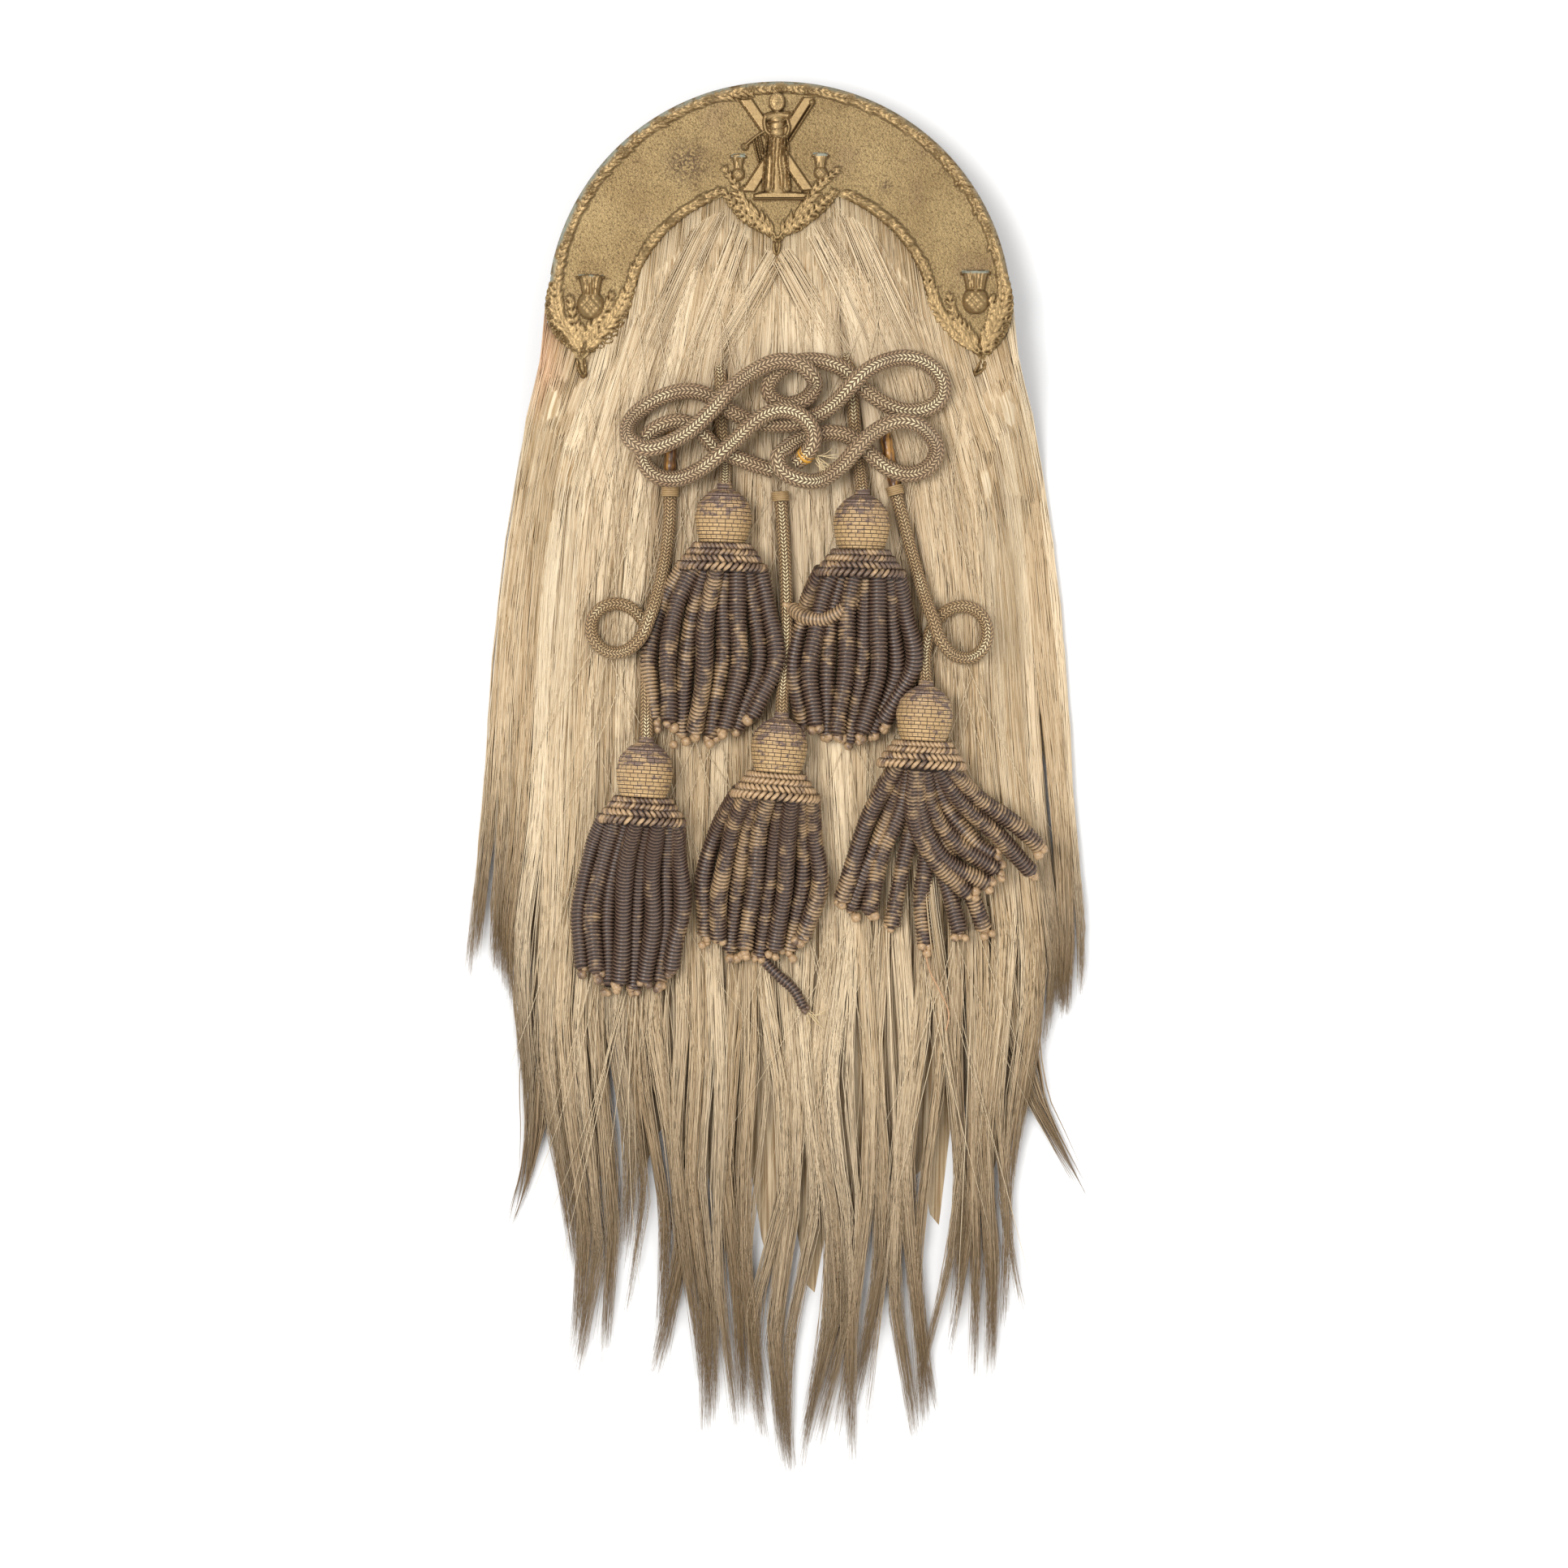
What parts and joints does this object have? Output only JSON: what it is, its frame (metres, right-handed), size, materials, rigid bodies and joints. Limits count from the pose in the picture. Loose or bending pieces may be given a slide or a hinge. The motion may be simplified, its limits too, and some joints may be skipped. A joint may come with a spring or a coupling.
{
  "type": "sporran pouch",
  "caption": "Full-dress sporran pouch: round brass cantle on a leather bag, long blond horsehair fall, knotted braid cords and bullion tassels, lying on its back.",
  "frame": {"origin": "on the surface that it lies on, below the middle of its overall length and width", "axes": "+Z out of the front of the pouch, +Y towards the cantle, +X to the right as seen from the front"},
  "size_m": [0.2718, 0.62, 0.0601],
  "materials": {
    "brass": "stamped sheet, dulled and dark in its pits, a little pale verdigris",
    "leather": "smooth black leather",
    "horsehair": "long straight hair, blond at the top and ash brown at the tips",
    "braid": "tarnished metal braid in a herringbone, with pale gold glints",
    "gold_thread": "wound gold thread, tarnished purple grey in places",
    "bullion": "coiled wire bullion, tarnished purple brown, tan where worn"
  },
  "bodies": {
    "root": {"belt_loop_left": "leather", "belt_loop_right": "leather", "pouch": "leather", "cantle": "brass", "hair_fall": "horsehair", "knot_upper": "braid", "knot_lower_left": "braid", "knot_lower_right": "braid", "cord_upper_left": "braid", "cord_upper_right": "braid", "cord_lower_left": "braid", "cord_lower_middle": "braid", "cord_lower_right": "braid", "whipping_lower_left": "gold_thread", "whipping_lower_middle": "gold_thread", "whipping_lower_right": "gold_thread", "tassel_head_upper_left": "gold_thread", "tassel_head_upper_right": "gold_thread", "tassel_head_lower_left": "gold_thread", "tassel_head_lower_middle": "gold_thread", "tassel_head_lower_right": "gold_thread", "tassel_skirt_upper_left": "bullion", "tassel_skirt_upper_right": "bullion", "tassel_skirt_lower_left": "bullion", "tassel_skirt_lower_middle": "bullion", "tassel_skirt_lower_right": "bullion"}
  },
  "joints": []
}
